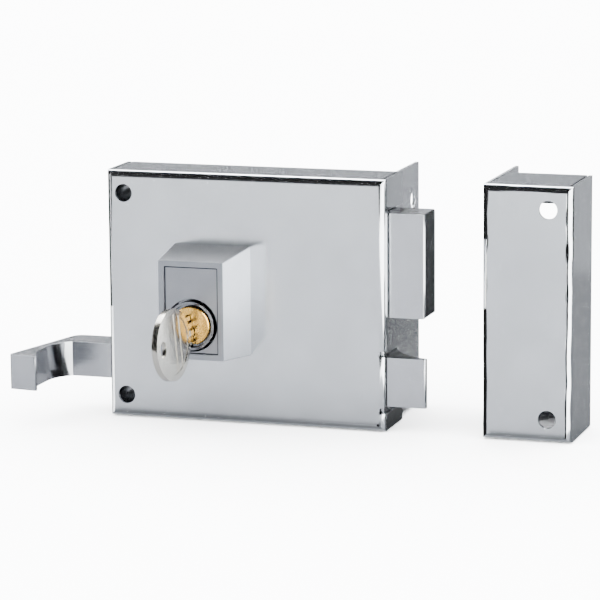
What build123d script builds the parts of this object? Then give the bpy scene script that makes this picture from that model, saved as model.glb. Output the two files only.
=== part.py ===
from build123d import *
import math
import os

# Rim box lock with its strike box.
# Millimetres. X runs towards the bolts, Y into the door and Z up.
# The origin is the cylinder axis on the back face, the face that lies on the door.

os.makedirs("parts", exist_ok=True)

# Clearances
running_gap = 0.06
sliding_gap = 0.3
seam_gap = 0.6
thread_gap = 0.02
cut_overrun = 1.0

# Case
case_width = 100.0
case_height = 86.5
case_depth = 21.5
cover_sheet = 1.2
fold_radius = 2.3
back_sheet = 1.5
axis_side_share = 0.615
axis_height_share = 0.439306
window_gap = 1.6
flap_gap = 1.1
lip_corner_radius = 0.8
relief_notch = 2.0
relief_hole_radius = 0.5
relief_hole_inset = 2.6

# Edge plate with its screw flange
forend_sheet = 1.2
flange_reach = 25.3
flange_hole_radius = 2.9
flange_hole_setback = 17.9
flange_hole_edge = 12.3
plate_corner_radius = 0.6

# Case fixing holes and the tubes behind them
fixing_hole_radius = 3.1
fixing_edge = 7.8
fixing_side = 6.3
fixing_tube_wall = 0.9

# Pillars that tie the cover to the back plate
pillar_radius = 2.5
pillar_screw_radius = 1.5
pillar_screw_depth = 7.0
screw_head_radius = 2.8
screw_head_height = 1.3

# Tapered guard round the cylinder
guard_height = 22.5
guard_base_width = 27.3
guard_base_tall = 37.9
guard_draft = 5.46
guard_wall = 1.8
guard_above_axis = 5.1
guard_edge_radius = 0.4
guard_border = 1.9
guard_border_step = 0.6
guard_pillar_radius = 3.0
guard_pillar_inset = 3.9
guard_screw_radius = 1.7
guard_screw_depth = 9.0
inner_head_radius = 2.5
inner_head_height = 1.8

# Cylinder
cylinder_radius = 8.3
cylinder_hole_radius = 9.1
cylinder_proud = 0.7
cylinder_past_cover = 1.1
stack_width = 10.4
stack_top = 18.8
plug_radius = 6.64
plug_ring_radius = 7.5
plug_ring_depth = 2.0
plug_chamfer = 0.35
plug_neck_radius = 5.6
clip_thickness = 0.8
clip_width = 2.1
clip_opening = 7.0
plug_square = 5.0
cylinder_screw_radius = 1.4
cylinder_screw_spacing = 6.6
cylinder_screw_height = 13.0
cylinder_screw_depth = 6.0

# Pins over the key
pin_count = 5
pin_spacing = 3.6
pin_wall = 1.0
pin_radius = 1.35
driver_pin_length = 5.6
pin_wire = 0.35
pin_spring_turns = 4
pin_wire_sides = 4
chamber_cap_thickness = 0.8

# Key
key_lean = 5.0
blade_height = 9.5
blade_width = 2.6
blade_top = 3.6
blade_length = 21.0
blade_gap = 0.2
cut_depth = 1.5
bow_length = 31.6
bow_height = 23.8
bow_thickness = 2.0
bow_drop = 2.7
bow_neck = 3.7
bow_rim = 2.0
bow_recess = 0.25
bow_rib = 1.1
bow_rib_spacing = 4.6
ring_hole_radius = 2.75
ring_hole_margin = 6.4
key_neck_height = 8.0

# Gears: module is the pitch diameter over the number of teeth
drive_module = 1.0
drive_teeth = 10
wheel_teeth = 20
rack_module = 0.8
rack_pinion_teeth = 10
pressure_angle = 25.0
addendum_share = 0.8
dedendum_share = 1.0
backlash = 0.2
wheel_angle = 17.0
wheel_thickness = 3.5
layer_gap = 0.8
axle_radius = 2.0
axle_shoulder_radius = 3.2
pinion_hub_radius = 5.4
blade_slot_width = 1.9
blade_slot_length = 8.6
blade_slot_depth = 5.0
outer_bore_radius = 7.5

# Deadbolt
bolt_below_top = 11.8
bolt_thickness = 13.5
bolt_setback = 4.4
bolt_above_axis = 0.9
bolt_proud = 1.2
bolt_bearing = 5.0
bolt_chamfer = 0.5
tail_thickness = 4.0
tail_setback = 6.2
tail_top_margin = 2.6
guide_below_top = 10.5
guide_spacing = 22.0
guide_end_margin = 3.2

# Turns of the key, counted from the photographed pose
turn_back = 360.0 + key_lean
turn_on = 360.0 - key_lean

# Latch
latch_height = 17.0
latch_bottom = 8.5
latch_setback = 2.3
latch_rear_gap = 2.0
latch_reach = 14.8
latch_length = 35.0
latch_travel = 13.0
latch_nose = 1.9
latch_edge_radius = 0.8
bevel_sag_share = 0.14
bar_bottom = 12.4
bar_height = 12.2
bar_setback = 4.4
bar_depth = 12.4
lap_length = 14.0
lap_left_inset = 22.5
lever_pin_radius = 1.6

# Pull lever, seen from above
hook_span = 28.2
hook_drop = 28.0
hook_outer_share = 0.655
hook_edge_radius = 0.7

# Latch spring with its rod, lug and stop
spring_radius = 2.6
spring_wire = 0.8
spring_turns = 9
spring_wire_sides = 6
spring_inset = 6.0
spring_below_bar = 5.7
rod_radius = 1.3
rod_tail = 2.0
lug_thickness = 3.0
lug_depth = 6.5
lug_drop = 9.0
stop_thickness = 2.0
guide_strap = 1.5
guide_width = 5.0
guide_lug_gap = 1.5

# Strike
strike_distance = 33.7
strike_width = 30.8
strike_height = 86.5
strike_depth = 29.5
strike_plate_reach = 16.3
strike_lip = 3.0
strike_bolt_gap = 0.9
strike_heel_height = 8.8
strike_fixing_side = 8.3

# Places worked out from the values above
case_right = case_width * axis_side_share
case_left = case_right - case_width
case_bottom = -case_height * axis_height_share
case_top = case_bottom + case_height
front = -case_depth
front_inner = front + cover_sheet
fold_inner = front + fold_radius
back_inner = -back_sheet
forend_face = case_right - cover_sheet
forend_inner = forend_face - forend_sheet
guard_front = front - guard_height
draft_run = math.tan(math.radians(guard_draft))

plug_front = guard_front - cylinder_proud
guard_inner = guard_front + guard_border_step + guard_wall
stack_front = guard_inner + running_gap
cylinder_rear = front_inner + cylinder_past_cover
clip_front = cylinder_rear + running_gap
clip_rear = clip_front + clip_thickness

bolt_front = front + bolt_setback
bolt_bottom = bolt_above_axis
bolt_top = case_top - bolt_below_top
tail_front = bolt_front + tail_setback
tail_rear = tail_front + tail_thickness
wheel_rear = tail_front - layer_gap
wheel_front = wheel_rear - wheel_thickness

drive_pitch = drive_module * drive_teeth / 2
wheel_pitch = drive_module * wheel_teeth / 2
rack_pinion_pitch = rack_module * rack_pinion_teeth / 2
wheel_distance = drive_pitch + wheel_pitch
wheel_x = wheel_distance * math.cos(math.radians(wheel_angle))
wheel_z = wheel_distance * math.sin(math.radians(wheel_angle))
rack_line = wheel_z + rack_pinion_pitch
travel_per_degree = math.radians(1) * rack_pinion_pitch * drive_teeth / wheel_teeth
bolt_thrown = turn_back * travel_per_degree
bolt_to_throw = turn_on * travel_per_degree

latch_front = front + latch_setback
latch_rear = -latch_rear_gap
latch_low = case_bottom + latch_bottom
latch_high = latch_low + latch_height
latch_tip = forend_face + latch_reach
bar_low = case_bottom + bar_bottom
bar_high = bar_low + bar_height
bar_front = front + bar_setback
bar_rear = bar_front + bar_depth
lap_left = case_left + lap_left_inset
lap_right = lap_left + lap_length
spring_z = bar_low - spring_below_bar
spring_y = (bar_front + bar_rear) / 2
head_left = latch_tip - latch_length
guide_left = head_left - latch_travel - guide_lug_gap - guide_width
lug_left = guide_left - guide_lug_gap - lug_thickness
stop_right = lap_left + spring_inset
spring_length = lug_left - stop_right

strike_left = case_right + strike_distance
strike_right = strike_left + strike_width
strike_bottom = case_bottom
strike_top = strike_bottom + strike_height
strike_back = front + strike_depth
strike_plate_rear = strike_back + strike_plate_reach

fixing_x = case_left + fixing_side
fixing_heights = [case_bottom + fixing_edge, case_top - fixing_edge]
bolt_head_left = forend_inner - bolt_to_throw - bolt_bearing
right_post = bolt_head_left - bolt_thrown - pillar_radius - sliding_gap
guide_posts = [right_post - guide_spacing, right_post]
guide_height = bolt_top - guide_below_top


def block(left, right, near, far, low, high):
    """A box between six planes; near and far are its front and back."""
    middle = ((left + right) / 2, (near + far) / 2, (low + high) / 2)
    return Pos(*middle) * Box(right - left, far - near, high - low)


def rod_y(x, z, radius, near, far):
    """A round bar that runs into the door."""
    return Pos(x, (near + far) / 2, z) * Rot(90, 0, 0) * Cylinder(radius, far - near)


def rod_x(y, z, radius, left, right):
    """A round bar that runs towards the bolts."""
    return Pos((left + right) / 2, y, z) * Rot(0, 90, 0) * Cylinder(radius, right - left)


def facing_plane(far):
    """A plane at this depth that faces the viewer, with X across and Z up."""
    return Plane(origin=(0, far, 0), x_dir=(1, 0, 0), z_dir=(0, -1, 0))


def level_plane(low):
    """A level plane at this height, for outlines seen from above."""
    return Plane(origin=(0, 0, low), x_dir=(1, 0, 0), z_dir=(0, 0, 1))


def folded_case(left, right, far, low, high):
    """A folded sheet box, open at the back, with rounded folds round its front."""
    outer = block(left, right, front, far, low, high)
    outer = fillet(outer.faces().sort_by(Axis.Y)[0].edges(), fold_radius)
    inner = block(
        left + cover_sheet,
        right - cover_sheet,
        front_inner,
        far + cut_overrun,
        low + cover_sheet,
        high - cover_sheet,
    )
    inner = fillet(inner.faces().sort_by(Axis.Y)[0].edges(), fold_radius - cover_sheet)
    return outer - inner


def flap_seams(left, right, far, low, high):
    """The slits between the side flaps and the top and bottom flaps."""
    slits = []
    for seam_left in (left + cover_sheet, right - cover_sheet - seam_gap):
        for wall_low in (low - cut_overrun, high - cover_sheet - cut_overrun):
            wall_high = wall_low + cover_sheet + 2 * cut_overrun
            slits.append(block(seam_left, seam_left + seam_gap, fold_inner, far + cut_overrun, wall_low, wall_high))
    return slits


def make_case_cover():
    cover = folded_case(case_left, case_right, 0, case_bottom, case_top)
    cover -= flap_seams(case_left, case_right, 0, case_bottom, case_top)
    flap_bottom = bolt_top + flap_gap
    side = forend_face - seam_gap
    lip = bolt_front - window_gap
    window = block(side, case_right + cut_overrun, lip, cut_overrun, case_bottom - cut_overrun, flap_bottom)
    window = fillet(window.edges().filter_by(Axis.X).sort_by(Axis.Z)[2:].sort_by(Axis.Y)[0], lip_corner_radius)
    cover -= window
    latch_gap = latch_low - sliding_gap, latch_high + sliding_gap
    cover -= block(case_right - fold_radius, case_right + cut_overrun, front_inner, 0, *latch_gap)
    for notch_low in (latch_gap[0] - relief_notch, latch_gap[1]):
        notch = block(
            case_right - fold_radius, case_right + cut_overrun, front - cut_overrun, 0, notch_low, notch_low + relief_notch
        )
        cover -= notch
    cover -= block(
        case_left - cut_overrun,
        case_left + cover_sheet + cut_overrun,
        bar_front - sliding_gap,
        bar_rear + sliding_gap,
        bar_low - sliding_gap,
        bar_high + sliding_gap,
    )
    for z in fixing_heights:
        cover -= rod_y(fixing_x, z, fixing_hole_radius, front - cut_overrun, front_inner + cut_overrun)
    cover -= rod_y(0, 0, cylinder_radius + sliding_gap, front - cut_overrun, front_inner + cut_overrun)
    for x, z in guard_pillar_places():
        cover -= rod_y(x, z, guard_screw_radius + thread_gap, front - cut_overrun, front_inner + cut_overrun)
    for x in cylinder_screw_places():
        cover -= rod_y(
            x, cylinder_screw_height, cylinder_screw_radius + thread_gap, front - cut_overrun, front_inner + cut_overrun
        )
    relief_x = case_right - relief_hole_inset
    relief_z = case_bottom + fold_radius
    cover -= rod_y(relief_x, relief_z, relief_hole_radius, front - cut_overrun, front_inner + cut_overrun)
    return cover


def pillar_places():
    """The two bolt guides, one pillar at the left wall and one under the latch."""
    lower = case_bottom + fold_radius + screw_head_radius
    left = case_left + fold_radius + 2 * pillar_radius
    return [(x, guide_height) for x in guide_posts] + [(left, 0), (forend_inner - latch_length / 2, lower)]


def make_back_plate():
    left = case_left + cover_sheet
    low = case_bottom + cover_sheet
    high = case_top - cover_sheet
    plate = block(left, forend_inner, back_inner, 0, low, high)
    lug_near = bolt_front
    lug_left = forend_inner - back_sheet
    between = (latch_high + sliding_gap * 4, bolt_bottom - sliding_gap * 4)
    top_low = bolt_top + sliding_gap * 4
    for lug_low, lug_high in (between, (top_low, high)):
        plate += block(lug_left, forend_inner, lug_near, 0, lug_low, lug_high)
    plate -= rod_y(0, 0, outer_bore_radius, back_inner - cut_overrun, cut_overrun)
    for z in fixing_heights:
        plate -= rod_y(fixing_x, z, fixing_hole_radius, back_inner - cut_overrun, cut_overrun)
    for x, z in pillar_places():
        plate -= countersunk_screw(x, z, thread_gap)
    plate -= rod_y(wheel_x, wheel_z, axle_radius + thread_gap, back_inner - cut_overrun, cut_overrun)
    return plate


def make_forend_plate():
    low = case_bottom + cover_sheet
    high = case_top - cover_sheet
    plate = block(forend_inner, forend_face, fold_inner, 0, low, high)
    flange = block(forend_inner, forend_face, 0, flange_reach, case_bottom, case_top)
    flange = fillet(flange.edges().filter_by(Axis.X).sort_by(Axis.Y)[-2:], plate_corner_radius)
    plate += flange
    left, right = forend_inner - cut_overrun, forend_face + cut_overrun
    plate -= block(
        left,
        right,
        bolt_front - sliding_gap,
        bolt_front + bolt_thickness + sliding_gap,
        bolt_bottom - sliding_gap,
        bolt_top + sliding_gap,
    )
    plate -= block(
        left,
        right,
        front_inner - cut_overrun,
        latch_rear + sliding_gap,
        latch_low - sliding_gap,
        latch_high + sliding_gap,
    )
    for z in flange_hole_heights(case_bottom, case_top):
        plate -= rod_x(flange_hole_setback, z, flange_hole_radius, left, right)
    return plate


def flange_hole_heights(low, high):
    return [low + flange_hole_edge, high - flange_hole_edge]


def make_fixing_tubes():
    tubes = []
    for z in fixing_heights:
        tube = rod_y(fixing_x, z, fixing_hole_radius + fixing_tube_wall, front_inner, back_inner)
        tubes.append(tube - rod_y(fixing_x, z, fixing_hole_radius, front_inner - cut_overrun, cut_overrun))
    return tubes


def make_case_pillars():
    pillars = []
    for x, z in pillar_places():
        pillar = rod_y(x, z, pillar_radius, front_inner, back_inner)
        bore_near = back_inner - pillar_screw_depth
        pillars.append(pillar - rod_y(x, z, pillar_screw_radius + thread_gap, bore_near, back_inner + cut_overrun))
    return pillars


def countersunk_screw(x, z, gap):
    """A screw from the back, its head flush with the back face; gap makes it the hole for one."""
    shank = rod_y(x, z, pillar_screw_radius + gap, back_inner - pillar_screw_depth + cut_overrun, 0)
    head = Cone(screw_head_radius + gap, pillar_screw_radius + gap, screw_head_height)
    return shank + Pos(x, -screw_head_height / 2, z) * Rot(90, 0, 0) * head


def make_back_screws():
    return [countersunk_screw(x, z, 0) for x, z in pillar_places()]


def guard_solid(base_width, base_tall, near, far):
    """A block that narrows towards the viewer with the guard's draft."""
    profile = facing_plane(far) * Pos(0, guard_above_axis) * Rectangle(base_width, base_tall)
    return extrude(profile, amount=far - near, taper=guard_draft)


def guard_pillar_places():
    across = guard_base_width / 2 - guard_pillar_inset
    up = guard_base_tall / 2 - guard_pillar_inset
    return [(x, guard_above_axis + z) for x in (-across, across) for z in (-up, up)]


def make_cylinder_guard():
    guard = guard_solid(guard_base_width, guard_base_tall, guard_front, front)
    corners = guard.edges().filter_by(Axis.X, reverse=True).filter_by(Axis.Z, reverse=True)
    guard = fillet(corners, guard_edge_radius)
    face_width = guard_base_width - 2 * guard_height * draft_run
    face_tall = guard_base_tall - 2 * guard_height * draft_run
    panel = RectangleRounded(face_width - 2 * guard_border, face_tall - 2 * guard_border, guard_edge_radius)
    panel = facing_plane(guard_front + guard_border_step) * Pos(0, guard_above_axis) * panel
    guard -= extrude(panel, amount=guard_border_step + cut_overrun)
    guard -= guard_solid(guard_base_width - 2 * guard_wall, guard_base_tall - 2 * guard_wall, guard_inner, front)
    for x, z in guard_pillar_places():
        guard += rod_y(x, z, guard_pillar_radius, guard_inner, front) & guard_solid(
            guard_base_width - guard_wall, guard_base_tall - guard_wall, guard_inner, front
        )
    for x, z in guard_pillar_places():
        guard -= rod_y(x, z, guard_screw_radius + thread_gap, front - guard_screw_depth, front + cut_overrun)
    guard -= rod_y(0, 0, cylinder_hole_radius, guard_front - cut_overrun, front + cut_overrun)
    return guard


def inner_screw(x, z, radius, depth):
    """A screw from inside the case, through the cover, with its head inside."""
    shank = rod_y(x, z, radius, front - depth + cut_overrun, front_inner)
    return shank + rod_y(x, z, inner_head_radius, front_inner, front_inner + inner_head_height)


def make_guard_screws():
    return [inner_screw(x, z, guard_screw_radius, guard_screw_depth) for x, z in guard_pillar_places()]


def cylinder_screw_places():
    return [-cylinder_screw_spacing / 2, cylinder_screw_spacing / 2]


def make_cylinder_screws():
    screws = []
    for x in cylinder_screw_places():
        screws.append(inner_screw(x, cylinder_screw_height, cylinder_screw_radius, cylinder_screw_depth))
    return screws


def pin_places():
    return [stack_front + pin_wall + pin_radius + pin_spacing * number for number in range(pin_count)]


def rod_z(y, radius, low, high):
    """An upright round bar over the cylinder axis."""
    return Pos(0, y, (low + high) / 2) * Cylinder(radius, high - low)


def make_cylinder_body():
    body = rod_y(0, 0, cylinder_radius, plug_front, cylinder_rear)
    body += block(-stack_width / 2, stack_width / 2, stack_front, front, 0, stack_top)
    body -= rod_y(0, 0, plug_radius + running_gap, plug_front - cut_overrun, cylinder_rear + cut_overrun)
    body -= rod_y(0, 0, plug_ring_radius, plug_front - cut_overrun, plug_front + plug_ring_depth)
    for y in pin_places():
        body -= rod_z(y, pin_radius + running_gap, 0, stack_top + cut_overrun)
    for x in cylinder_screw_places():
        hole_near = front - cylinder_screw_depth
        body -= rod_y(x, cylinder_screw_height, cylinder_screw_radius + thread_gap, hole_near, front + cut_overrun)
    return body


# Key section, as shares of blade_width across and blade_height down from its top
key_section_shares = [
    (-0.42, 0.0),
    (0.12, 0.0),
    (0.12, -0.14),
    (-0.02, -0.25),
    (0.5, -0.5),
    (0.5, -0.66),
    (0.24, -0.79),
    (0.5, -0.92),
    (0.5, -1.0),
    (0.02, -1.0),
    (0.02, -0.93),
    (-0.3, -0.84),
    (-0.3, -0.74),
    (-0.05, -0.56),
    (-0.5, -0.46),
    (-0.5, -0.22),
    (-0.42, -0.12),
]


def key_section(gap):
    """The outline of the key blade across its length, grown by gap for the keyway."""
    points = [(across * blade_width, blade_top + up * blade_height) for across, up in key_section_shares]
    outline = make_face(Polyline(*points, close=True))
    return offset(outline, amount=gap, kind=Kind.INTERSECTION) if gap else outline


def leaning(shape):
    """Turns a piece of the plug about the cylinder axis to the photographed angle."""
    return Rot(0, -key_lean, 0) * shape


def make_plug():
    plug = rod_y(0, 0, plug_radius, plug_front, cylinder_rear)
    plug = chamfer(plug.faces().sort_by(Axis.Y)[0].edges(), plug_chamfer)
    plug += rod_y(0, 0, plug_neck_radius, cylinder_rear, clip_rear)
    plug += block(-plug_square / 2, plug_square / 2, clip_rear, wheel_rear, -plug_square / 2, plug_square / 2)
    keyway_length = blade_length + sliding_gap
    keyway = facing_plane(plug_front + keyway_length) * key_section(blade_gap)
    plug -= extrude(keyway, amount=keyway_length + cut_overrun)
    breakout_low = blade_top - blade_height
    foot = [across for across, up in key_section_shares if up == -1.0]
    left = min(foot) * blade_width - blade_gap
    right = max(foot) * blade_width + blade_gap
    plug -= block(left, right, plug_front - cut_overrun, plug_front + keyway_length, -plug_radius - cut_overrun, breakout_low)
    for y in pin_places():
        plug -= rod_z(y, pin_radius + running_gap, 0, plug_radius + cut_overrun)
    return leaning(plug)


def make_key_pins():
    """The lower pins: each stands on the key's ridge line and ends at the plug's rim."""
    rim = math.sqrt(plug_radius**2 - pin_radius**2)
    return [leaning(rod_z(y, pin_radius, blade_top + running_gap, rim)) for y in pin_places()]


def make_driver_pins():
    low = plug_radius + 2 * running_gap
    return [rod_z(y, pin_radius, low, low + driver_pin_length) for y in pin_places()]


def make_pin_springs():
    low = plug_radius + 2 * running_gap + driver_pin_length
    high = stack_top - chamber_cap_thickness
    coils = []
    for y in pin_places():
        height = high - low - 2 * pin_wire
        path = Helix(height / pin_spring_turns, height, pin_radius - pin_wire)
        wire = Plane(origin=path @ 0, z_dir=path % 0) * RegularPolygon(pin_wire / 2, pin_wire_sides)
        coils.append(Pos(0, y, low + pin_wire) * sweep(wire, path=path))
    return coils


def make_chamber_caps():
    """Caps pressed into the tops of the pin chambers."""
    low = stack_top - chamber_cap_thickness
    return [rod_z(y, pin_radius + running_gap, low, stack_top) for y in pin_places()]


def make_plug_clip():
    outer = plug_neck_radius + clip_width
    clip = rod_y(0, 0, outer, clip_front, clip_rear)
    clip -= rod_y(0, 0, plug_neck_radius + thread_gap, clip_front - cut_overrun, clip_rear + cut_overrun)
    clip -= block(
        -clip_opening / 2, clip_opening / 2, clip_front - cut_overrun, clip_rear + cut_overrun, -outer - cut_overrun, 0
    )
    return leaning(clip)


def bow_oval(middle_y, middle_z, rim, left, right):
    """The oval of the key's bow, drawn in by rim, between two planes across X."""
    outline = Plane(origin=(left, middle_y, middle_z), x_dir=(0, 1, 0), z_dir=(1, 0, 0))
    oval = outline * Ellipse(bow_length / 2 - rim, bow_height / 2 - rim)
    return extrude(oval, amount=right - left)


def make_key():
    blade = extrude(facing_plane(plug_front + blade_length) * key_section(0), amount=blade_length + bow_neck)
    for y in pin_places():
        cut = Plane.YZ.offset(-blade_width) * make_face(
            Polyline(
                (y - cut_depth, blade_top + sliding_gap),
                (y, blade_top - cut_depth),
                (y + cut_depth, blade_top + sliding_gap),
                close=True,
            )
        )
        blade -= extrude(cut, amount=2 * blade_width)
    bow_y = plug_front - bow_neck - bow_length / 2
    bow_z = -bow_drop
    half = bow_thickness / 2
    bow = bow_oval(bow_y, bow_z, 0, -half, half)
    for side in (-1, 1):
        left, right = sorted((side * (half - bow_recess), side * (half + cut_overrun)))
        recess = bow_oval(bow_y, bow_z, bow_rim, left, right)
        for rib_y in (bow_y + bow_rib_spacing / 2, bow_y + 3 * bow_rib_spacing / 2):
            recess -= block(left, right, rib_y, rib_y + bow_rib, bow_z - bow_height, bow_z + bow_height)
        bow -= recess
    neck_half = half - bow_recess
    neck_low = bow_z - key_neck_height / 2
    neck_near = bow_y + bow_length / 4
    neck = block(-neck_half, neck_half, neck_near, plug_front - sliding_gap, neck_low, neck_low + key_neck_height)
    key = blade + bow + neck
    hole_y = bow_y - bow_length / 2 + ring_hole_margin
    key -= rod_x(hole_y, bow_z, ring_hole_radius, -bow_thickness, bow_thickness)
    return leaning(key)


def involute(angle):
    return math.tan(angle) - angle


def gear_face(teeth, module, first_tooth, far):
    """The outline of an involute gear; first_tooth is the angle of one tooth, in degrees."""
    pitch = module * teeth / 2
    tip = pitch + addendum_share * module
    root = pitch - dedendum_share * module
    pressure = math.radians(pressure_angle)
    base = pitch * math.cos(pressure)
    half_tooth = (math.pi * module - backlash) / 4 / pitch
    flank_start = max(base, root)

    def place(radius, angle):
        return (radius * math.cos(angle), radius * math.sin(angle))

    def half_angle(radius):
        return half_tooth + involute(pressure) - involute(math.acos(base / radius))

    flank_radii = [flank_start, (flank_start + tip) / 2, tip]
    edges = []
    for number in range(teeth):
        centre = math.radians(first_tooth) + 2 * math.pi * number / teeth
        rising = [place(radius, centre - half_angle(radius)) for radius in flank_radii]
        falling = [place(radius, centre + half_angle(radius)) for radius in reversed(flank_radii)]
        root_in = place(root, centre - half_angle(flank_start))
        root_out = place(root, centre + half_angle(flank_start))
        next_root = place(root, centre + 2 * math.pi / teeth - half_angle(flank_start))
        root_middle = place(root, centre + math.pi / teeth)
        edges += [
            Line(root_in, rising[0]),
            ThreePointArc(*rising),
            ThreePointArc(rising[2], place(tip, centre), falling[0]),
            ThreePointArc(*falling),
            Line(falling[2], root_out),
            ThreePointArc(root_out, root_middle, next_root),
        ]
    return facing_plane(far) * make_face(Curve() + edges)


def make_drive_pinion():
    pinion = extrude(gear_face(drive_teeth, drive_module, wheel_angle, wheel_rear), amount=wheel_thickness)
    pinion += rod_y(0, 0, pinion_hub_radius, clip_rear + running_gap, wheel_front)
    hub_rear = wheel_rear + blade_slot_depth
    pinion += rod_y(0, 0, pinion_hub_radius, wheel_rear, hub_rear)
    half_square = plug_square / 2 + thread_gap
    square = block(-half_square, half_square, clip_rear - cut_overrun, wheel_rear, -half_square, half_square)
    pinion -= leaning(square)
    slot = block(
        -blade_slot_width / 2,
        blade_slot_width / 2,
        wheel_rear + cover_sheet,
        hub_rear + cut_overrun,
        -blade_slot_length / 2,
        blade_slot_length / 2,
    )
    return pinion - slot


def make_reduction_gear():
    wheel_tooth = wheel_angle + 180 + 180 / wheel_teeth
    hub_rear = tail_rear + sliding_gap
    wheel = extrude(gear_face(wheel_teeth, drive_module, wheel_tooth, wheel_rear), amount=wheel_thickness)
    pinion = extrude(gear_face(rack_pinion_teeth, rack_module, 90, hub_rear), amount=hub_rear - wheel_rear)
    gear = Pos(wheel_x, 0, wheel_z) * (wheel + pinion)
    return gear - rod_y(wheel_x, wheel_z, axle_radius + running_gap, wheel_front - cut_overrun, hub_rear + cut_overrun)


def make_gear_axle():
    shoulder_near = tail_rear + 2 * sliding_gap
    axle = rod_y(wheel_x, wheel_z, axle_radius, wheel_front - 2 * sliding_gap, 0)
    axle += rod_y(wheel_x, wheel_z, axle_shoulder_radius, shoulder_near, back_inner)
    head_far = wheel_front - sliding_gap
    return axle + rod_y(wheel_x, wheel_z, axle_shoulder_radius, head_far - clip_thickness, head_far)


def rack_teeth(low_line):
    """Points along the toothed edge, from left to right, as the bolt lies at rest."""
    pitch = math.pi * rack_module
    slope = math.tan(math.radians(pressure_angle))
    half_tooth = (pitch - backlash) / 4
    half_tip = half_tooth - addendum_share * rack_module * slope
    half_root = half_tooth + dedendum_share * rack_module * slope
    tip_line = rack_line - addendum_share * rack_module
    first = -math.ceil((bolt_to_throw + 2 * pitch) / pitch)
    last = math.ceil((bolt_thrown + 2 * pitch) / pitch)
    points = []
    for number in range(first, last):
        middle = wheel_x + (number + 0.5) * pitch
        points += [
            (middle - half_root, low_line),
            (middle - half_tip, tip_line),
            (middle + half_tip, tip_line),
            (middle + half_root, low_line),
        ]
    return points


def make_deadbolt():
    end = forend_face + bolt_proud + bolt_thrown
    head = block(bolt_head_left, end, bolt_front, bolt_front + bolt_thickness, bolt_bottom, bolt_top)
    head = chamfer(head.faces().sort_by(Axis.X)[-1].edges(), bolt_chamfer)
    root_line = rack_line + dedendum_share * rack_module
    tail_top = bolt_top - tail_top_margin
    half_slot = pillar_radius + running_gap
    slot_left = guide_posts[0] - bolt_to_throw - half_slot - sliding_gap
    slot_right = guide_posts[1] + bolt_thrown + half_slot + sliding_gap
    teeth = rack_teeth(root_line)
    tail_left = min(slot_left - guide_end_margin, teeth[0][0] - rack_module)
    outline = [(tail_left, tail_top), (tail_left, root_line)] + teeth
    outline += [(bolt_head_left + cut_overrun, root_line), (bolt_head_left + cut_overrun, tail_top)]
    tail = extrude(facing_plane(tail_rear) * make_face(Polyline(*outline, close=True)), amount=tail_thickness)
    slot_length = slot_right - slot_left
    slot = SlotOverall(slot_length, 2 * half_slot)
    slot = facing_plane(tail_rear + cut_overrun) * Pos((slot_left + slot_right) / 2, guide_height) * slot
    return head + (tail - extrude(slot, amount=tail_thickness + 2 * cut_overrun))


def make_latch_bolt():
    bevel_right = (latch_tip, latch_front + latch_nose)
    bevel_left = (forend_face + sliding_gap, latch_rear)
    run = (bevel_right[0] - bevel_left[0], bevel_right[1] - bevel_left[1])
    sag = (
        (bevel_left[0] + bevel_right[0]) / 2 + run[1] * bevel_sag_share,
        (bevel_left[1] + bevel_right[1]) / 2 - run[0] * bevel_sag_share,
    )
    outline = [
        Line((head_left, latch_front), (latch_tip, latch_front)),
        Line((latch_tip, latch_front), bevel_right),
        ThreePointArc(bevel_right, sag, bevel_left),
        Line(bevel_left, (head_left, latch_rear)),
        Line((head_left, latch_rear), (head_left, latch_front)),
    ]
    head = extrude(level_plane(latch_low) * make_face(Curve() + outline), amount=latch_height)
    nose = head.edges().filter_by(Axis.Z).sort_by_distance((latch_tip, latch_front, latch_low))[0]
    head = fillet(nose, latch_edge_radius)
    bar = block(lap_right, head_left, bar_front, bar_rear, bar_low, bar_high)
    bar += block(lap_left, lap_right, bar_front, spring_y, bar_low, bar_high)
    near = spring_y - lug_depth / 2
    lug = block(lug_left, lug_left + lug_thickness, near, near + lug_depth, bar_low - lug_drop, bar_low)
    latch = head + bar + lug
    latch -= rod_x(spring_y, spring_z, rod_radius + thread_gap, lug_left - cut_overrun, lug_left + lug_thickness + cut_overrun)
    for x in lever_pin_places():
        latch -= rod_y(x, (bar_low + bar_high) / 2, lever_pin_radius + thread_gap, bar_front - cut_overrun, bar_rear)
    return latch


def lever_pin_places():
    return [lap_left + lap_length / 4, lap_left + 3 * lap_length / 4]


# Inner curve of the hook from its front corner to the bar's front, as shares of hook_span and hook_drop
hook_inner_shares = [(-0.624, -1.0), (-0.735, -0.72), (-0.735, -0.41), (-0.672, -0.15), (-0.55, 0.0)]
hook_tip_share = -0.95


def make_pull_lever():
    points = [(case_left + x * hook_span, bar_front + y * hook_drop) for x, y in hook_inner_shares]
    outer_front = (case_left - hook_span, bar_front + hook_tip_share * hook_drop)
    outer_rear = (case_left - hook_outer_share * hook_span, bar_rear)
    outline = [
        Line((lap_left, bar_front), points[4]),
        ThreePointArc(points[4], points[3], points[2]),
        Line(points[2], points[1]),
        Line(points[1], points[0]),
        Line(points[0], outer_front),
        Line(outer_front, outer_rear),
        Line(outer_rear, (lap_left, bar_rear)),
        Line((lap_left, bar_rear), (lap_left, bar_front)),
    ]
    lever = extrude(level_plane(bar_low) * make_face(Curve() + outline), amount=bar_height)
    corner = lever.edges().filter_by(Axis.Z).sort_by_distance((*outer_rear, bar_low))[0]
    lever = fillet(corner, bar_depth / 3)
    tip_corners = lever.edges().filter_by(Axis.Z).sort_by(Axis.Y)[:2]
    lever = fillet(tip_corners, hook_edge_radius)
    lever += block(lap_left, lap_right, spring_y, bar_rear, bar_low, bar_high)
    for x in lever_pin_places():
        lever -= rod_y(x, (bar_low + bar_high) / 2, lever_pin_radius + thread_gap, bar_front, bar_rear + cut_overrun)
    return lever


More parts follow.
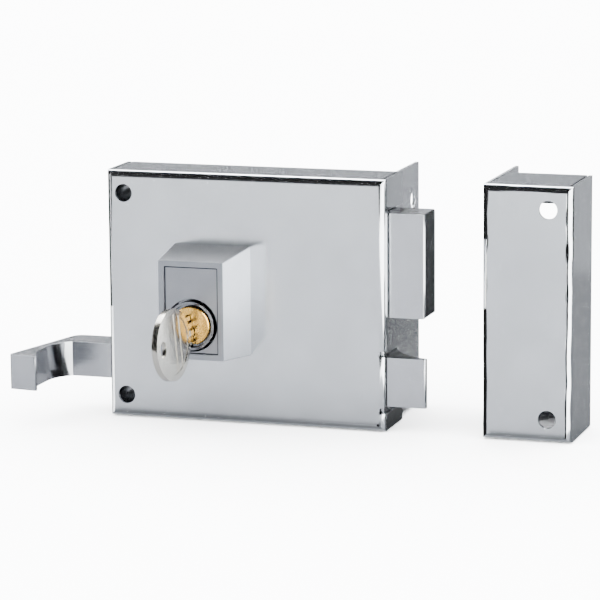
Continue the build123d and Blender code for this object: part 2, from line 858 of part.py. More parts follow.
def make_lever_pins():
    return [rod_y(x, (bar_low + bar_high) / 2, lever_pin_radius, bar_front, bar_rear) for x in lever_pin_places()]


def make_latch_spring():
    length = spring_length - 2 * spring_wire
    path = Helix(length / spring_turns, length, spring_radius)
    wire = Plane(origin=path @ 0, z_dir=path % 0) * RegularPolygon(spring_wire / 2, spring_wire_sides)
    return Pos(stop_right + spring_wire, spring_y, spring_z) * Rot(0, 90, 0) * sweep(wire, path=path)


def make_spring_rod():
    return rod_x(spring_y, spring_z, rod_radius, stop_right - stop_thickness - rod_tail, lug_left + lug_thickness)


def make_spring_stop():
    near = spring_y - lug_depth / 2
    low = case_bottom + cover_sheet + sliding_gap
    high = bar_low - sliding_gap
    stop = block(stop_right - stop_thickness, stop_right, near, back_inner, low, high)
    foot_left = stop_right - stop_thickness - lug_depth
    stop += block(foot_left, stop_right, back_inner - stop_thickness, back_inner, low, high)
    return stop - rod_x(spring_y, spring_z, rod_radius + running_gap, foot_left, stop_right + cut_overrun)


def make_latch_guide():
    """A strap round the latch bar, welded to the back plate."""
    left = guide_left
    right = left + guide_width
    outer_low = bar_low - running_gap - guide_strap
    outer_high = bar_high + running_gap + guide_strap
    strap = block(left, right, bar_front - running_gap - guide_strap, back_inner, outer_low, outer_high)
    return strap - block(
        left - cut_overrun,
        right + cut_overrun,
        bar_front - running_gap,
        back_inner + cut_overrun,
        bar_low - running_gap,
        bar_high + running_gap,
    )


def make_strike_box():
    box = folded_case(strike_left, strike_right, strike_back, strike_bottom, strike_top)
    box -= flap_seams(strike_left, strike_right, strike_back, strike_bottom, strike_top)
    box -= block(
        strike_left - cut_overrun,
        strike_left + forend_sheet,
        front + strike_lip,
        strike_back + cut_overrun,
        strike_bottom - cut_overrun,
        strike_top + cut_overrun,
    )
    box -= block(
        strike_left - cut_overrun,
        strike_left + fold_radius,
        front_inner,
        front + strike_lip + cut_overrun,
        latch_low - strike_bolt_gap,
        latch_high + strike_bolt_gap,
    )
    for z in strike_fixing_heights():
        box -= rod_y(strike_fixing_x(), z, fixing_hole_radius, front - cut_overrun, front_inner + cut_overrun)
    return box


def strike_fixing_x():
    return strike_right - strike_fixing_side


def strike_fixing_heights():
    return [strike_bottom + fixing_edge, strike_top - fixing_edge]


def make_strike_plate():
    left = strike_left
    right = left + forend_sheet
    low = strike_bottom + cover_sheet
    high = strike_top - cover_sheet
    plate = block(left, right, front + strike_lip, strike_plate_rear, strike_bottom, strike_top)
    plate = fillet(plate.edges().filter_by(Axis.X).sort_by(Axis.Y)[-2:], plate_corner_radius)
    heel_right = strike_right - cover_sheet - sliding_gap
    for lug_low, heel_low in ((low, low), (high - back_sheet, high - strike_heel_height)):
        plate += block(right, heel_right, bolt_front, strike_back, lug_low, lug_low + back_sheet)
        plate += block(right, heel_right, strike_back - back_sheet, strike_back, heel_low, heel_low + strike_heel_height)
    for z in strike_fixing_heights():
        plate -= rod_y(strike_fixing_x(), z, fixing_hole_radius, strike_back - 2 * back_sheet, strike_back + cut_overrun)
    cut = left - cut_overrun, right + cut_overrun
    gap = strike_bolt_gap
    plate -= block(*cut, bolt_front - gap, bolt_front + bolt_thickness + gap, bolt_bottom - gap, bolt_top + gap)
    plate -= block(*cut, front_inner - cut_overrun, latch_rear + gap, latch_low - gap, latch_high + gap)
    for z in flange_hole_heights(strike_bottom, strike_top):
        plate -= rod_x(strike_flange_hole_y(), z, flange_hole_radius, *cut)
    return plate


def strike_flange_hole_y():
    return strike_back + strike_plate_reach / 2


pieces = {
    "case_cover": make_case_cover,
    "back_plate": make_back_plate,
    "forend_plate": make_forend_plate,
    "fixing_tubes": make_fixing_tubes,
    "case_pillars": make_case_pillars,
    "back_screws": make_back_screws,
    "cylinder_guard": make_cylinder_guard,
    "guard_screws": make_guard_screws,
    "cylinder_screws": make_cylinder_screws,
    "cylinder_body": make_cylinder_body,
    "plug": make_plug,
    "key_pins": make_key_pins,
    "driver_pins": make_driver_pins,
    "pin_springs": make_pin_springs,
    "chamber_caps": make_chamber_caps,
    "plug_clip": make_plug_clip,
    "key": make_key,
    "drive_pinion": make_drive_pinion,
    "reduction_gear": make_reduction_gear,
    "gear_axle": make_gear_axle,
    "deadbolt": make_deadbolt,
    "latch_bolt": make_latch_bolt,
    "pull_lever": make_pull_lever,
    "lever_pins": make_lever_pins,
    "latch_spring": make_latch_spring,
    "spring_rod": make_spring_rod,
    "spring_stop": make_spring_stop,
    "latch_guide": make_latch_guide,
    "strike_box": make_strike_box,
    "strike_plate": make_strike_plate,
}

for name, make in pieces.items():
    shape = make()
    if isinstance(shape, list):
        shape = Compound(children=[Compound(solid.solids()) if len(solid.solids()) > 1 else solid for solid in shape])
    export_step(shape, f"parts/{name}.step")
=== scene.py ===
import math

import bmesh
import bpy
from bpy.props import FloatProperty, FloatVectorProperty, PointerProperty
from mathutils import Matrix, Vector


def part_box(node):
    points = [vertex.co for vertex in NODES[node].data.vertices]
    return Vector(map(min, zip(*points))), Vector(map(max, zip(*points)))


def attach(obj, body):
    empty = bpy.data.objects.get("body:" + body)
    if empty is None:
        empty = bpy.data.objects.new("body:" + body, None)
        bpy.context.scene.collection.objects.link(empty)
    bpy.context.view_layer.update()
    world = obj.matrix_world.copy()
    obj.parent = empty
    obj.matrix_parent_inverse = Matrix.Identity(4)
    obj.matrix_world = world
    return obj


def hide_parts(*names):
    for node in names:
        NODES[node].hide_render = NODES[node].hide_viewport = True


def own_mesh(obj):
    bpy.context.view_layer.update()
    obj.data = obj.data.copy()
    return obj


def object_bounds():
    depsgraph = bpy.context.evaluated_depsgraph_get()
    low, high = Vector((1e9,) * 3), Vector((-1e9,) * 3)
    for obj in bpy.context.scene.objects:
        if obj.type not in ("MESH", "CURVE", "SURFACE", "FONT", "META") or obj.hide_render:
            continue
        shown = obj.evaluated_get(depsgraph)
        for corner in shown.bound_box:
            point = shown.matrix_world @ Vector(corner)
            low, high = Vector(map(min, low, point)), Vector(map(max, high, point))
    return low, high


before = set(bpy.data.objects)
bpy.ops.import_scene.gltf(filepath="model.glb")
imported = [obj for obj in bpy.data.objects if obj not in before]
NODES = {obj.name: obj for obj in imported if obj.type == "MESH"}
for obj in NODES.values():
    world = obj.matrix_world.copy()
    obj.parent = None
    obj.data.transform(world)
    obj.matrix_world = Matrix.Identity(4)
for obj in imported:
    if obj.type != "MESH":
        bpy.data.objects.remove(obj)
cad_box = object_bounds()

bl_info = {
    "name": "Rim box lock looks",
    "version": (1, 0, 0),
    "blender": (4, 5, 0),
    "location": "3D Viewport > Sidebar > Rim lock",
    "description": "Finishes, small pieces and a studio for a rim box lock with its strike box",
    "category": "Object",
}

MM = 0.001
UPRIGHT = Matrix.Rotation(math.radians(90), 3, "X")

# How a CAD node's loose triangles are joined and flattened before its sharp edges are broken
WELD_GAP = 0.002 * MM
FLAT_WITHIN = math.radians(0.3)
SHARP_EDGE = math.radians(28)

# Broken edges of folded sheet, of small turned pieces, of gear teeth and of castings and forgings
SHEET_EDGE = 0.15 * MM
TURNED_EDGE = 0.1 * MM
TOOTH_EDGE = 0.08 * MM
CAST_EDGE = 0.35 * MM

# A face of a folded box that lies deeper than this, in mm, is on its inside
INSIDE_DEPTH = 0.85
# The y of a face's normal: on the strike box's folds it lies between these two
FOLD_NORMAL_LOW, FOLD_NORMAL_HIGH = -0.998, -0.03
# Below this the face looks to the front
TO_THE_FRONT = -0.9
# Closer to 0 than this it is the wall of a bore that runs from front to back
ALONG_A_BORE = 0.3

# The guard's casting: its height off the case, the lean of its sides and the width of its border
GUARD_DEPTH = 22.5 * MM
GUARD_DRAFT = math.radians(5.46)
GUARD_BORDER = 1.93 * MM

# The photograph's camera, fitted to the corners of the case and the strike box
FILM_WIDTH = 36.0
PHOTO_PIXELS = 600
FOCAL_PIXELS = 3224.9
CAMERA_YAW, CAMERA_PITCH, CAMERA_ROLL = math.radians(17.872), math.radians(10.517), math.radians(-0.468)
CAMERA_PLACE = Vector((362.45, -1048.17, 206.58)) * MM


def linear(code):
    """An sRGB hex colour as linear red, green, blue and full alpha."""
    values = [int(code[i:i + 2], 16) / 255 for i in (1, 3, 5)]
    return [v / 12.92 if v <= 0.04045 else ((v + 0.055) / 1.055) ** 2.4 for v in values] + [1.0]


class LockLooks(bpy.types.PropertyGroup):
    """Sizes and colours of the lock's finishes that a user would change."""

    edge_round: FloatProperty(
        name="Edge rounding", description="Radius of the broken edges on cut metal",
        default=0.25 * MM, unit="LENGTH")
    # Real brushed lines are about 0.05 mm apart. They are drawn coarser, or none would show.
    grain: FloatProperty(
        name="Grain spacing", description="Distance between the brushed lines",
        default=0.35 * MM, unit="LENGTH")
    case_colour: FloatVectorProperty(
        name="Case", description="Satin nickel on the case and the strike box",
        default=linear("#C9CCCE")[:3], subtype="COLOR", size=3, min=0.0, max=1.0)
    brass_colour: FloatVectorProperty(
        name="Brass", description="Turned brass of the plug",
        default=linear("#D8A955")[:3], subtype="COLOR", size=3, min=0.0, max=1.0)


def add_node(tree, kind, links=(), **settings):
    """Adds one shader node; settings name its properties or inputs, links feed its inputs."""
    node = tree.nodes.new(kind)
    for key, value in settings.items():
        if hasattr(node, key):
            setattr(node, key, value)
        else:
            node.inputs[key.replace("_", " ")].default_value = value
    for socket, source in links:
        tree.links.new(source, node.inputs[socket])
    return node


def metal(
        name, colour, roughness, spread, grain=None, bump=0.02, direction=(1.0, 1.0, 1.0), tint=0.06,
        haze=0.0, wave=0.0):
    """A plated or cut metal: a faint drift of colour and roughness, and the marks of how it was made.

    haze is the share of light that a cast or dull surface scatters evenly, and wave the height of the
    slow waves that folding leaves in sheet."""
    drift_width, wave_width, mark_depth = 14 * MM, 11 * MM, 0.05 * MM
    # Noise seldom leaves this range, so it is spread over the whole of a ramp.
    noise_low, noise_high = 0.3, 0.7
    material = bpy.data.materials.new(name)
    material.use_nodes = True
    tree = material.node_tree
    shader = tree.nodes["Principled BSDF"]
    shader.inputs["Metallic"].default_value = 1.0 - haze
    place = add_node(tree, "ShaderNodeTexCoord").outputs["Object"]
    drift = add_node(tree, "ShaderNodeTexNoise", [("Vector", place)], Scale=1 / drift_width, Detail=3.0)
    stretch = add_node(tree, "ShaderNodeMapping", [("Vector", place)], Scale=direction)
    spacing = grain or bpy.context.scene.lock_looks.grain
    marks = add_node(
        tree, "ShaderNodeTexNoise", [("Vector", stretch.outputs["Vector"])],
        Scale=1 / spacing, Detail=4.0, Roughness=0.6)
    ramp = add_node(tree, "ShaderNodeValToRGB", [("Fac", drift.outputs["Fac"])])
    low, high = ramp.color_ramp.elements
    low.position, high.position = noise_low, noise_high
    low.color = [c * (1 - tint) for c in colour[:3]] + [1.0]
    high.color = [min(1.0, c * (1 + tint)) for c in colour[:3]] + [1.0]
    tree.links.new(ramp.outputs["Color"], shader.inputs["Base Color"])
    gloss = add_node(
        tree, "ShaderNodeMapRange", [("Value", marks.outputs["Fac"])],
        From_Min=noise_low, From_Max=noise_high, To_Min=roughness - spread, To_Max=roughness + spread)
    tree.links.new(gloss.outputs["Result"], shader.inputs["Roughness"])
    relief = add_node(
        tree, "ShaderNodeBump", [("Height", marks.outputs["Fac"])], Strength=bump, Distance=mark_depth)
    if wave:
        slow = add_node(tree, "ShaderNodeTexNoise", [("Vector", place)], Scale=1 / wave_width, Detail=0.0)
        dent = add_node(
            tree, "ShaderNodeBump", [("Height", slow.outputs["Fac"])], Strength=1.0, Distance=wave)
        tree.links.new(dent.outputs["Normal"], relief.inputs["Normal"])
    tree.links.new(relief.outputs["Normal"], shader.inputs["Normal"])
    return material


def finish(node, material, rounding=None, segments=3):
    """Gives a CAD node its finish and breaks its sharp edges. A rounding of 0 leaves them sharp."""
    piece = NODES[node]
    piece.data.materials.clear()
    piece.data.materials.append(material)
    weld = piece.modifiers.new("weld", "WELD")
    weld.merge_threshold = WELD_GAP
    flat = piece.modifiers.new("flat_faces", "DECIMATE")
    flat.decimate_type = "DISSOLVE"
    flat.angle_limit = FLAT_WITHIN
    flat.delimit = {"NORMAL", "MATERIAL"}
    if rounding is None:
        rounding = bpy.context.scene.lock_looks.edge_round
    if rounding:
        edge = piece.modifiers.new("edges", "BEVEL")
        edge.width = rounding
        edge.segments = segments
        edge.limit_method = "ANGLE"
        edge.angle_limit = SHARP_EDGE
        edge.harden_normals = True
        edge.use_clamp_overlap = True


def paint(node, material, chosen):
    """Gives the faces of a CAD node that are chosen, by their middle and normal in mm, a second finish."""
    data = NODES[node].data
    data.materials.append(material)
    for face in data.polygons:
        if chosen(face.center / MM, face.normal):
            face.material_index = len(data.materials) - 1


def paint_inside(node, material):
    """Gives the inside of a folded box, which is open at the back, a second finish; here that is a
    near-black painted shade.
    """
    low, high = (Vector(corner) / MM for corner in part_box(node))

    def inside(middle, normal):
        depth = min(middle.x - low.x, high.x - middle.x, middle.z - low.z, high.z - middle.z)
        return depth > INSIDE_DEPTH and middle.y - low.y > INSIDE_DEPTH

    paint(node, material, inside)


def new_object(name, shape, material):
    """Turns a finished bmesh into an object at the origin, with one material."""
    mesh = bpy.data.meshes.new(name)
    shape.to_mesh(mesh)
    shape.free()
    mesh.materials.append(material)
    piece = bpy.data.objects.new(name, mesh)
    bpy.context.scene.collection.objects.link(piece)
    return piece


def window_sill(material):
    """The turned end of the bottom flap, under the latch in the case's right side."""
    thickness, front_gap, rear_gap, foot, height, corner = (
        v * MM for v in (1.12, 2.8, 0.3, 0.1, 6.2, 1.5))
    at_corner = 0.01 * MM
    low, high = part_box("case_cover")
    left, right = high[0] - thickness, high[0]
    near, far = low[1] + front_gap, -rear_gap
    bottom, top = low[2] + foot, low[2] + height
    sill = bmesh.new()
    bmesh.ops.create_cube(sill, size=1.0)
    bmesh.ops.scale(sill, vec=(right - left, far - near, top - bottom), verts=sill.verts)
    middle = ((left + right) / 2, (near + far) / 2, (bottom + top) / 2)
    bmesh.ops.translate(sill, vec=middle, verts=sill.verts)
    rear = [
        edge for edge in sill.edges
        if all(v.co.y > far - at_corner and v.co.z > top - at_corner for v in edge.verts)]
    bmesh.ops.bevel(
        sill, geom=rear, offset=corner, affect="EDGES", segments=4, profile=0.5, material=-1)
    piece = new_object("window_sill", sill, material)
    edge = piece.modifiers.new("edges", "BEVEL")
    edge.width = SHEET_EDGE
    edge.segments = 2
    edge.limit_method = "ANGLE"
    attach(piece, "case")


def border_shade(material):
    """A line of painted shade along the inside corner of the guard's border."""
    line_width, line_thickness, line_depth = 0.45 * MM, 0.05 * MM, 0.6 * MM
    low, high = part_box("cylinder_guard")
    margin = GUARD_DEPTH * math.tan(GUARD_DRAFT) + GUARD_BORDER
    wide = high[0] - low[0] - 2 * margin
    tall = high[2] - low[2] - 2 * margin
    ring = bmesh.new()
    bmesh.ops.create_grid(ring, x_segments=1, y_segments=1, size=0.5)
    bmesh.ops.scale(ring, vec=(wide, tall, 1.0), verts=ring.verts)
    bmesh.ops.rotate(ring, cent=(0, 0, 0), matrix=UPRIGHT, verts=ring.verts)
    panel = ring.faces[:]
    bmesh.ops.inset_region(
        ring, faces=panel, thickness=line_width, use_even_offset=True, use_boundary=True)
    bmesh.ops.delete(ring, geom=panel, context="FACES")
    bmesh.ops.solidify(ring, geom=ring.faces[:], thickness=line_thickness)
    bmesh.ops.recalc_face_normals(ring, faces=ring.faces)
    rear = low[1] + line_depth - max(v.co.y for v in ring.verts)
    middle = ((low[0] + high[0]) / 2, rear, (low[2] + high[2]) / 2)
    bmesh.ops.translate(ring, vec=middle, verts=ring.verts)
    piece = new_object("guard_border_shade", ring, material)
    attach(piece, "case")


def latch_coil(material):
    """The latch's spring as a coil."""
    wire = 0.4 * MM
    wire_sides, turns, steps = 10, 9, 16
    low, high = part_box("latch_spring")
    radius = (high[2] - low[2]) / 2 - wire
    across, up = (low[1] + high[1]) / 2, (low[2] + high[2]) / 2
    start, end = low[0] + 2 * wire, high[0] - 2 * wire
    coil = bmesh.new()
    bmesh.ops.create_circle(coil, segments=wire_sides, radius=wire)
    bmesh.ops.rotate(coil, cent=(0, 0, 0), matrix=UPRIGHT, verts=coil.verts)
    bmesh.ops.translate(coil, vec=(start, across, up + radius), verts=coil.verts)
    bmesh.ops.spin(
        coil, geom=coil.verts[:] + coil.edges[:], cent=(start, across, up), axis=(1, 0, 0),
        dvec=((end - start) / (turns * steps), 0, 0), angle=turns * math.tau, steps=turns * steps)
    bmesh.ops.holes_fill(coil, edges=[edge for edge in coil.edges if edge.is_boundary])
    bmesh.ops.recalc_face_normals(coil, faces=coil.faces)
    for face in coil.faces:
        face.smooth = True
    piece = new_object("latch_coil", coil, material)
    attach(piece, "case")
    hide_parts("latch_spring")
    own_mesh(piece)


def stage_sheet(name, corners, material, mirrored_only=True):
    """A flat studio sheet between its corners. One that is mirrored_only shows in the metal alone."""
    sheet = bmesh.new()
    sheet.faces.new([sheet.verts.new(corner) for corner in corners])
    piece = new_object(name, sheet, material)
    if mirrored_only:
        piece.visible_camera = False
        piece.visible_diffuse = False
        piece.visible_shadow = False


def standing(name, left, right, low, high, material):
    """An upright studio sheet over the line from left to right, seen from above."""
    stage_sheet(name, [(*left, low), (*right, low), (*right, high), (*left, high)], material)


def lying(name, outline, height, material, mirrored_only=True):
    """A level studio sheet."""
    stage_sheet(name, [(*point, height) for point in outline], material, mirrored_only)


def paper(name, code):
    """Matt paper or cloth for the studio."""
    material = bpy.data.materials.new(name)
    material.use_nodes = True
    shader = material.node_tree.nodes["Principled BSDF"]
    shader.inputs["Base Color"].default_value = linear(code)
    shader.inputs["Roughness"].default_value = 0.9
    shader.inputs["Specular IOR Level"].default_value = 0.1
    return material


def soft_light(name, place, target, size, power):
    """A square soft box aimed at a point."""
    lamp = bpy.data.lights.new(name, "AREA")
    lamp.shape = "SQUARE"
    lamp.size = size
    lamp.energy = power
    light = bpy.data.objects.new(name, lamp)
    bpy.context.scene.collection.objects.link(light)
    light.location = place
    light.rotation_euler = (Vector(target) - Vector(place)).to_track_quat("-Z", "Y").to_euler()


def photo_camera():
    """The camera at the photograph's place, turn and angle of view."""
    lens = bpy.data.cameras.new("photo_camera")
    lens.sensor_width = FILM_WIDTH
    lens.lens = FILM_WIDTH * FOCAL_PIXELS / PHOTO_PIXELS
    lens.clip_start = 10 * MM
    camera = bpy.data.objects.new("photo_camera", lens)
    bpy.context.scene.collection.objects.link(camera)
    ahead, drop = math.cos(CAMERA_PITCH), math.sin(CAMERA_PITCH)
    forward = Vector((-math.sin(CAMERA_YAW) * ahead, math.cos(CAMERA_YAW) * ahead, -drop))
    level = Vector((math.cos(CAMERA_YAW), math.sin(CAMERA_YAW), 0))
    across = math.cos(CAMERA_ROLL) * level + math.sin(CAMERA_ROLL) * level.cross(forward)
    up = across.cross(forward)
    camera.matrix_world = Matrix((across, up, -forward)).transposed().to_4x4()
    camera.location = CAMERA_PLACE
    bpy.context.scene.camera = camera


class LOCK_OT_case(bpy.types.Operator):
    """Finishes the folded case, its plates and its fixings"""

    bl_idname = "rimlock.case"
    bl_label = "Case"

    def execute(self, context):
        looks = context.scene.lock_looks
        # Nickel-plated sheet steel, rolled smooth before plating: an even grey with soft reflections.
        sheet = metal("satin_nickel_plated_sheet", list(looks.case_colour), 0.15, 0.03, bump=0.01)
        finish("case_cover", sheet, SHEET_EDGE)
        # The inside is bare pickled steel, painted near black as painted shade.
        inside = metal("bare_steel_inside", linear("#2B2C2E"), 0.5, 0.08, grain=1.2 * MM, tint=0.15)
        paint_inside("case_cover", inside)
        # Zinc-plated sheet: greyer and a little cloudy.
        zinc = metal("zinc_plated_sheet", linear("#A6AAAE"), 0.34, 0.06, grain=1.2 * MM, tint=0.12)
        finish("back_plate", zinc)
        # Plain plated plate, half dull, so that it reads darker than the case.
        plate = metal("plated_edge_plate", linear("#D8DADD"), 0.26, 0.03, bump=0.01, tint=0.08)
        finish("forend_plate", plate)
        window_sill(sheet)
        for node in ("case_pillars", "spring_stop", "latch_guide"):
            finish(node, zinc, TURNED_EDGE)
        # Turned steel tubes under oil: dark down their bores.
        tube = metal("oiled_steel_tube", linear("#5E6063"), 0.3, 0.06, grain=0.6 * MM, tint=0.1)
        finish("fixing_tubes", tube, TURNED_EDGE)
        # Turned screws under zinc: brighter than the sheet, with a tighter shine.
        screw = metal("zinc_plated_screw", linear("#B4B6B8"), 0.25, 0.05, grain=0.6 * MM)
        for node in ("back_screws", "guard_screws", "cylinder_screws"):
            finish(node, screw, 0.15 * MM)
        return {"FINISHED"}


class LOCK_OT_strike(bpy.types.Operator):
    """Finishes the strike box and its plate"""

    bl_idname = "rimlock.strike"
    bl_label = "Strike box"

    def execute(self, context):
        looks = context.scene.lock_looks
        finish("strike_box", bpy.data.materials["satin_nickel_plated_sheet"], SHEET_EDGE)
        # The same sheet, stretched over the press's edge, which leaves its folds wavy.
        fold = metal("stretched_nickel_fold", list(looks.case_colour), 0.14, 0.03, bump=0.01, wave=1.6 * MM)
        paint("strike_box", fold, lambda middle, normal: FOLD_NORMAL_LOW < normal.y < FOLD_NORMAL_HIGH)
        # The strike box's inside gets the same near-black painted shade.
        paint_inside("strike_box", bpy.data.materials["bare_steel_inside"])
        finish("strike_plate", bpy.data.materials["plated_edge_plate"])
        return {"FINISHED"}


class LOCK_OT_guard(bpy.types.Operator):
    """Finishes the cast guard round the cylinder"""

    bl_idname = "rimlock.guard"
    bl_label = "Cylinder guard"

    def execute(self, context):
        # Die-cast zinc under satin chrome: its drawn sides catch the light.
        chrome = metal(
            "satin_chrome_casting", linear("#A9ACB1"), 0.33, 0.05, grain=0.8 * MM, bump=0.03, haze=0.06)
        finish("cylinder_guard", chrome, CAST_EDGE, segments=4)
        # Its face is blasted to a pearl grey inside a brushed rim, and both are painted darker than the
        # sides as painted shade; the corners get a near-black painted shade.
        pearl = metal(
            "pearl_blasted_casting_painted_darker", linear("#8B8D92"), 0.38, 0.06, grain=0.8 * MM, bump=0.06, haze=0.03)
        corner = metal("polish_in_the_corners", linear("#2F3034"), 0.5, 0.08, grain=0.6 * MM, tint=0.15)
        rim = metal(
            "brushed_casting_rim_painted_darker", linear("#898C91"), 0.36, 0.06, grain=0.8 * MM, bump=0.05, haze=0.03)
        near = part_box("cylinder_guard")[0][1] / MM
        # In mm: the rim lies at the very front, the panel behind it, and the bore round the cylinder.
        rim_depth, panel_from, panel_to, bore_radius = 0.05, 0.3, 0.8, 9.4

        def on_panel(middle, normal):
            return near + panel_from < middle.y < near + panel_to and normal.y < TO_THE_FRONT

        def on_rim(middle, normal):
            return middle.y < near + rim_depth and normal.y < TO_THE_FRONT

        def in_bore(middle, normal):
            return math.hypot(middle.x, middle.z) < bore_radius and abs(normal.y) < ALONG_A_BORE

        paint("cylinder_guard", pearl, on_panel)
        paint("cylinder_guard", rim, on_rim)
        paint("cylinder_guard", corner, in_bore)
        border_shade(corner)
        return {"FINISHED"}


class LOCK_OT_cylinder(bpy.types.Operator):
    """Finishes the pin cylinder, its plug and its small parts"""

    bl_idname = "rimlock.cylinder"
    bl_label = "Pin cylinder"

    def execute(self, context):
        looks = context.scene.lock_looks
        # Chrome on a turned brass body, with painted shade in the gap round the plug.
        body = metal("chrome_plated_brass", linear("#77797D"), 0.22, 0.03)
        finish("cylinder_body", body, 0.12 * MM)
        gap_from, gap_to = 6.5, 7.8

        def round_plug(middle, normal):
            return gap_from < math.hypot(middle.x, middle.z) < gap_to and abs(normal.y) < ALONG_A_BORE

        paint("cylinder_body", bpy.data.materials["polish_in_the_corners"], round_plug)
        # Bare turned brass, polished by the key.
        brass = metal(
            "turned_brass", list(looks.brass_colour), 0.26, 0.05, grain=0.9 * MM, bump=0.03, tint=0.2)
        finish("plug", brass, 0.08 * MM)
        finish("key_pins", brass, TURNED_EDGE)
        finish("chamber_caps", brass, 0.05 * MM)
        finish("driver_pins", bpy.data.materials["zinc_plated_screw"], TURNED_EDGE)
        # Drawn wire and spring strip: dark, with a thin shine.
        wire = metal("spring_steel", linear("#8B8D90"), 0.28, 0.05, grain=0.3 * MM)
        finish("pin_springs", wire, 0)
        finish("latch_spring", wire, 0)
        latch_coil(wire)
        finish("plug_clip", wire, TURNED_EDGE)
        return {"FINISHED"}


class LOCK_OT_key(bpy.types.Operator):
    """Finishes the key"""

    bl_idname = "rimlock.key"
    bl_label = "Key"

    def execute(self, context):
        # Polished nickel on stamped brass, warm where it mirrors the plug.
        nickel = metal("polished_nickel_key", linear("#A9A69E"), 0.2, 0.06, grain=1.5 * MM, bump=0.03)
        finish("key", nickel, 0.3 * MM, segments=4)
        return {"FINISHED"}


class LOCK_OT_bolts(bpy.types.Operator):
    """Finishes the deadbolt, the latch and the pull lever"""

    bl_idname = "rimlock.bolts"
    bl_label = "Bolts and lever"

    def execute(self, context):
        # Cast and ground bolts under satin nickel, with the grinding along them.
        bolt = metal(
            "ground_nickel_plated_bolt", linear("#BBBDC0"), 0.22, 0.04, direction=(0.05, 1.0, 1.0))
        finish("deadbolt", bolt, CAST_EDGE)
        finish("latch_bolt", bolt, 0.3 * MM)
        # A drawn bar, brushed along its length before plating.
        lever = metal(
            "brushed_nickel_plated_bar", linear("#A4A6A9"), 0.22, 0.05, grain=0.6 * MM,
            direction=(0.06, 1.0, 1.0), tint=0.1)
        finish("pull_lever", lever, CAST_EDGE)
        # The crook's faces are painted darker as painted shade, and where the finger runs out of it a
        # lighter, glossier copy of the bar gives a painted highlight.
        thin = metal("painted_shade_in_the_crook", linear("#6C6E72"), 0.16, 0.04, grain=0.6 * MM, tint=0.15)
        worn = metal("painted_highlight_on_the_bar", linear("#C4C6C8"), 0.1, 0.03, bump=0.01)
        # In mm from left to right, on the faces that look back to the case.
        crook_left, crook_turn, crook_right = -59.6, -56.3, -53.9
        to_the_case = 0.6
        paint(
            "pull_lever", thin,
            lambda middle, normal: normal.x > to_the_case and crook_left < middle.x < crook_turn)
        paint(
            "pull_lever", worn,
            lambda middle, normal: normal.x > to_the_case and crook_turn < middle.x < crook_right)
        for node in ("lever_pins", "spring_rod"):
            finish(node, bpy.data.materials["zinc_plated_screw"], TURNED_EDGE)
        return {"FINISHED"}


class LOCK_OT_gears(bpy.types.Operator):
    """Finishes the gear train"""

    bl_idname = "rimlock.gears"
    bl_label = "Gears"

    def execute(self, context):
        # Hardened steel with a film of oil: dark and fairly glossy.
        gear = metal("oiled_gear_steel", linear("#7F8184"), 0.24, 0.06, grain=0.6 * MM, tint=0.1)
        for node in ("drive_pinion", "reduction_gear", "gear_axle"):
            finish(node, gear, TOOTH_EDGE)
        return {"FINISHED"}


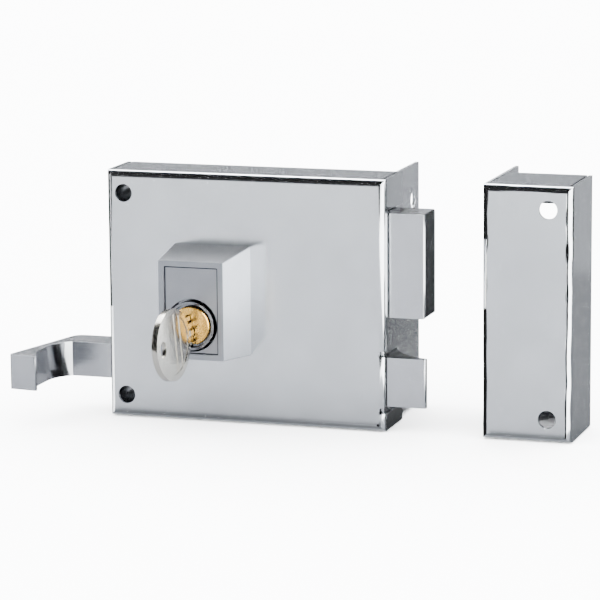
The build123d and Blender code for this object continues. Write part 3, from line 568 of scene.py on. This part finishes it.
class LOCK_OT_stage(bpy.types.Operator):
    """Sets up the floor, the cards, the lights and the camera"""

    bl_idname = "rimlock.stage"
    bl_label = "Studio"

    def execute(self, context):
        # A bright and even sky, so that the plain floor reads nearly white.
        world = bpy.data.worlds.new("studio")
        context.scene.world = world
        world.use_nodes = True
        sky = world.node_tree.nodes["Background"]
        sky.inputs["Color"].default_value = linear("#FAFBFD")
        sky.inputs["Strength"].default_value = 14.0
        white = paper("white_paper", "#F6F6F5")
        light = paper("light_grey_paper", "#6E6F71")
        middle = paper("middle_grey_paper", "#66676A")
        pale = paper("pale_grey_paper", "#3D3E40")
        dark = paper("dark_grey_paper", "#2E2F31")
        back = paper("back_grey_paper", "#38393B")
        shade = paper("shaded_paper", "#1F2021")
        deep = paper("deep_grey_paper", "#1B1C1D")
        black = paper("black_cloth", "#050505")
        # Heights in metres: the floor, the table on it, the strips on the table, and the black ceiling.
        low = cad_box[0][2] - 0.4 * MM
        near = low + 0.2 * MM
        above = near + 0.1 * MM
        roof = 1.6
        # Places seen from above, in metres: the studio's ends, the table's left and rear edges, and the
        # line of the case's front with the foot of the strips before it.
        far_left, far_right, front = -2.0, 1.2, -1.5
        table_left, table_rear = -1.6, 1.2
        face, foot = -0.0215, -0.034
        lying("floor", [(-4, -4), (4, -4), (4, 4), (-4, 4)], low, white, mirrored_only=False)
        # The face of the lock mirrors the table in front of it, on the left.
        lying(
            "front_table",
            [(0.14, -0.02), (0.1, -0.4), (table_left, -0.4), (table_left, -0.92), (-0.04, -0.02)],
            near, middle)
        lying(
            "far_front_table", [(0.1, -0.4), (0.0, front), (table_left, front), (table_left, -0.4)],
            near, light)
        # A dark studio over the table and behind the lock gives the folds their black bands.
        standing("front_curtain", (far_left, front), (far_right, front), low, roof, black)
        lying(
            "ceiling", [(far_left, front), (far_right, front), (far_right, 0.5), (far_left, 0.5)],
            roof, black)
        lying(
            "left_table",
            [(-0.04, -0.02), (table_left, -0.92), (table_left, table_rear), (-0.43, table_rear),
             (-0.042, 0.0)],
            near, black)
        # From behind, the back plate mirrors a grey table.
        lying(
            "rear_table", [(-0.042, 0.0), (-0.43, table_rear), (0.06, table_rear), (0.06, 0.0)],
            near, middle)
        standing("left_curtain", (table_left, -0.9), (-1.4, table_rear), low, 0.5, black)
        # The lower folds mirror a strip of table at their foot.
        lying("case_foot", [(-0.04, face), (0.0625, face), (0.0625, foot), (-0.04, foot)], above, pale)
        lying("strike_foot", [(0.095, face), (0.127, face), (0.127, foot), (0.095, foot)], above, pale)
        # The right ends mirror a grey table, darkest beside the lock.
        lying(
            "under_table", [(0.0616, -0.022), (0.0616, 0.08), (0.094, 0.08), (0.094, -0.022)], near, deep)
        lying("near_table", [(0.062, 0.08), (0.062, 0.3), (0.16, 0.3), (0.12, 0.08)], near, shade)
        lying(
            "far_table", [(0.062, 0.3), (0.062, table_rear), (0.6, table_rear), (0.235, 0.3)], near, pale)
        lying(
            "right_table",
            [(0.126, -0.022), (0.12, 0.08), (0.16, 0.3), (0.235, 0.3), (0.6, table_rear),
             (far_right, table_rear), (far_right, -0.022)],
            near, dark)
        standing("right_curtain", (0.1, table_rear), (1.3, 0.2), low, 0.8, black)
        # The ends of the bolts mirror a dark flag behind them, and the tops a grey wall.
        standing("bolt_flag", (0.078, 0.03), (0.098, 0.03), low, 0.045, deep)
        standing("back_wall", (table_left, 1.25), (0.3, 1.25), low, 0.9, back)
        # Small dark cards beside the strike box draw the black lines in its folds.
        top = cad_box[1][2]
        standing("right_fold_card", (0.1240, -0.0245), (0.1265, -0.0245), low, top, black)
        standing("left_fold_card_low", (0.0935, -0.026), (0.0935, -0.012), low, 0.006, black)
        standing("left_fold_card_high", (0.0935, -0.026), (0.0935, -0.012), 0.03, top, black)
        # The crook of the pull lever looks at a dark and a white card beside the case.
        standing("lever_dark_card", (-0.0398, -0.0178), (-0.0409, -0.0212), low, 0.0, deep)
        standing("lever_white_card", (-0.0409, -0.0212), (-0.0436, -0.0298), low, 0.0, white)
        soft_light("back_light", place=(-0.5, 1.3, 1.3), target=(0, 0, 0), size=0.5, power=12)
        photo_camera()
        return {"FINISHED"}


OPERATORS = (
    LOCK_OT_case, LOCK_OT_strike, LOCK_OT_guard, LOCK_OT_cylinder, LOCK_OT_key, LOCK_OT_bolts,
    LOCK_OT_gears, LOCK_OT_stage)


class LOCK_PT_panel(bpy.types.Panel):
    """Lists the lock's pieces and finishes"""

    bl_idname = "LOCK_PT_panel"
    bl_label = "Rim lock"
    bl_space_type = "VIEW_3D"
    bl_region_type = "UI"
    bl_category = "Rim lock"

    def draw(self, context):
        looks = context.scene.lock_looks
        for name in LockLooks.__annotations__:
            self.layout.prop(looks, name)
        for operator in OPERATORS:
            self.layout.operator(operator.bl_idname)


def register():
    for part in (LockLooks, *OPERATORS, LOCK_PT_panel):
        bpy.utils.register_class(part)
    bpy.types.Scene.lock_looks = PointerProperty(type=LockLooks)


def unregister():
    del bpy.types.Scene.lock_looks
    for part in reversed((LockLooks, *OPERATORS, LOCK_PT_panel)):
        bpy.utils.unregister_class(part)


def main():
    register()
    for operator in OPERATORS:
        group, name = operator.bl_idname.split(".")
        getattr(getattr(bpy.ops, group), name)()


if __name__ == "__main__":
    main()
